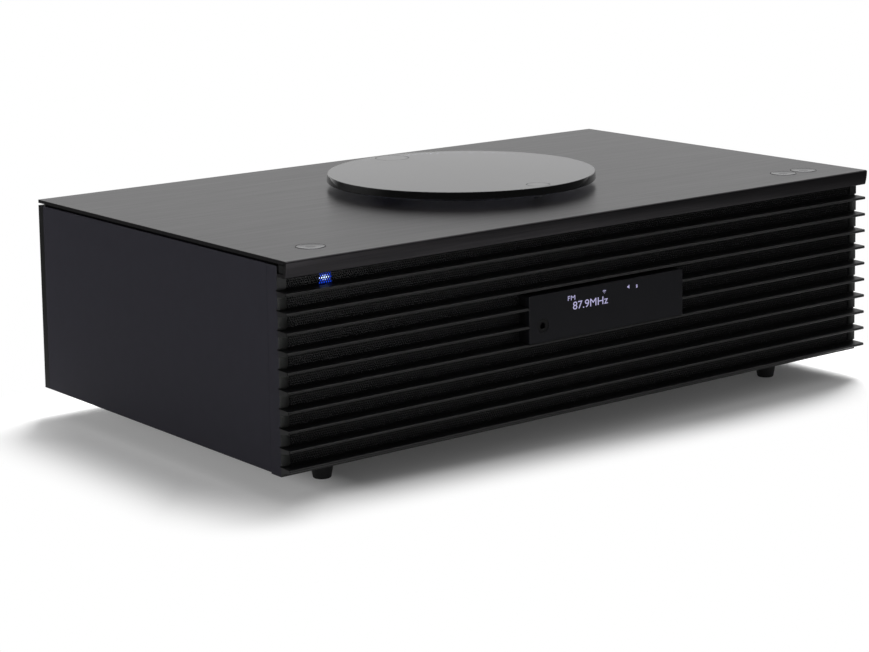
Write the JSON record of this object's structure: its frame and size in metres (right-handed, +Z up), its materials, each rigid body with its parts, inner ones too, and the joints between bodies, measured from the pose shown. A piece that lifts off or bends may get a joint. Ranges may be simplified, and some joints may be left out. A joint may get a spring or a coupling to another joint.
{
  "type": "all-in-one music system",
  "caption": "Low black table music system with a louvred front, a display, a round clear lid that swings over a disc drive, flush top buttons and a down-firing woofer.",
  "frame": {"origin": "middle of the footprint on the plane under the feet", "axes": "+X to the right seen from the front, +Y to the back, +Z up"},
  "size_m": [0.45, 0.28, 0.143],
  "materials": {
    "black_aluminium": "brushed and anodised black",
    "side_aluminium": "fine matte black anodised",
    "grille_plastic": "moulded, satin black",
    "mesh_steel": "perforated, black powder coat",
    "black_plastic": "moulded, fine texture",
    "bare_steel": "zinc plated",
    "black_steel": "black coated sheet",
    "clear_acrylic": "polished, lightly smoked",
    "smoked_window": "smoked, semi-gloss",
    "turned_aluminium": "turned, satin",
    "button_aluminium": "dished, anodised black, cut rim",
    "black_rubber": "moulded",
    "cone_paper": "coated paper cone with rubber roll",
    "magnet_steel": "plated",
    "circuit_board": "glass epoxy board",
    "lamp_plastic": "light block with a blue diode",
    "display_glass": "dark display glass",
    "lens_glass": "moulded lens in its holder",
    "plated_brass": "nickel plated"
  },
  "bodies": {
    "cabinet": {"top_plate": "black_aluminium", "left_side_panel": "side_aluminium", "right_side_panel": "side_aluminium", "front_grille": "grille_plastic", "grille_mesh": "mesh_steel", "front_baffle": "black_plastic", "status_lamp": "lamp_plastic", "display_window": "smoked_window", "display_panel": "display_glass", "display_board": "circuit_board", "headphone_jack": "black_plastic", "bottom_chassis": "black_steel", "upper_deck": "black_plastic", "rear_cover": "black_plastic", "left_speaker_box": "black_plastic", "right_speaker_box": "black_plastic", "left_port_tube": "black_plastic", "right_port_tube": "black_plastic", "left_woofer_basket": "magnet_steel", "right_woofer_basket": "magnet_steel", "left_woofer_cone": "cone_paper", "right_woofer_cone": "cone_paper", "left_tweeter": "black_plastic", "right_tweeter": "black_plastic", "bass_box": "black_plastic", "bass_basket": "magnet_steel", "bass_cone": "cone_paper", "bass_guard": "black_steel", "disc_well": "black_plastic", "drive_plate": "bare_steel", "guide_rod": "bare_steel", "sled_motor": "bare_steel", "spindle_motor": "bare_steel", "pivot_post": "turned_aluminium", "left_switch_board": "circuit_board", "right_switch_board": "circuit_board", "main_board": "circuit_board", "heat_sink": "turned_aluminium", "power_board": "circuit_board", "mains_inlet": "black_plastic", "network_socket": "bare_steel", "data_socket": "bare_steel", "aux_jack": "black_plastic", "aerial_socket": "plated_brass", "front_left_foot": "black_rubber", "front_right_foot": "black_rubber", "rear_left_foot": "black_rubber", "rear_right_foot": "black_rubber", "case_screws": "black_steel"},
    "lid": {"lid_disc": "clear_acrylic", "lid_hub": "turned_aluminium", "pivot_cap": "button_aluminium", "locator_pin": "turned_aluminium"},
    "power_key": {"power_button": "button_aluminium"},
    "source_key": {"source_button": "button_aluminium"},
    "play_key": {"play_button": "button_aluminium"},
    "spindle": {"spindle_hub": "black_plastic"},
    "sled": {"lens_sled": "black_plastic", "pickup_lens": "lens_glass"},
    "feed_screw": {"lead_screw": "bare_steel"}
  },
  "joints": [
    {"name": "lid_swing", "type": "hinge", "parent": "cabinet", "child": "lid", "pos_m": [0, 0.0647, 0.138], "axis": [0, 0, 1], "range_deg": [0, 165]},
    {"name": "power_press", "type": "slide", "parent": "cabinet", "child": "power_key", "axis": [0, 0, -1], "range_m": [0, 0.0008], "stiffness_N_per_m": 1200},
    {"name": "source_press", "type": "slide", "parent": "cabinet", "child": "source_key", "axis": [0, 0, -1], "range_m": [0, 0.0008], "stiffness_N_per_m": 1200},
    {"name": "play_press", "type": "slide", "parent": "cabinet", "child": "play_key", "axis": [0, 0, -1], "range_m": [0, 0.0008], "stiffness_N_per_m": 1200},
    {"name": "spindle_spin", "type": "hinge", "parent": "cabinet", "child": "spindle", "pos_m": [0, -0.0065, 0.12], "axis": [0, 0, 1], "continuous": true},
    {"name": "sled_slide", "type": "slide", "parent": "cabinet", "child": "sled", "axis": [0, -1, 0], "range_m": [0, 0.033]},
    {"name": "screw_turn", "type": "hinge", "parent": "cabinet", "child": "feed_screw", "pos_m": [0.02, -0.05, 0.1055], "axis": [0, 1, 0], "range_deg": [-1, 3961]}
  ],
  "couplings": [
    {"joint": "screw_turn", "follows": "sled_slide", "rad_per_m": 2094.4}
  ]
}
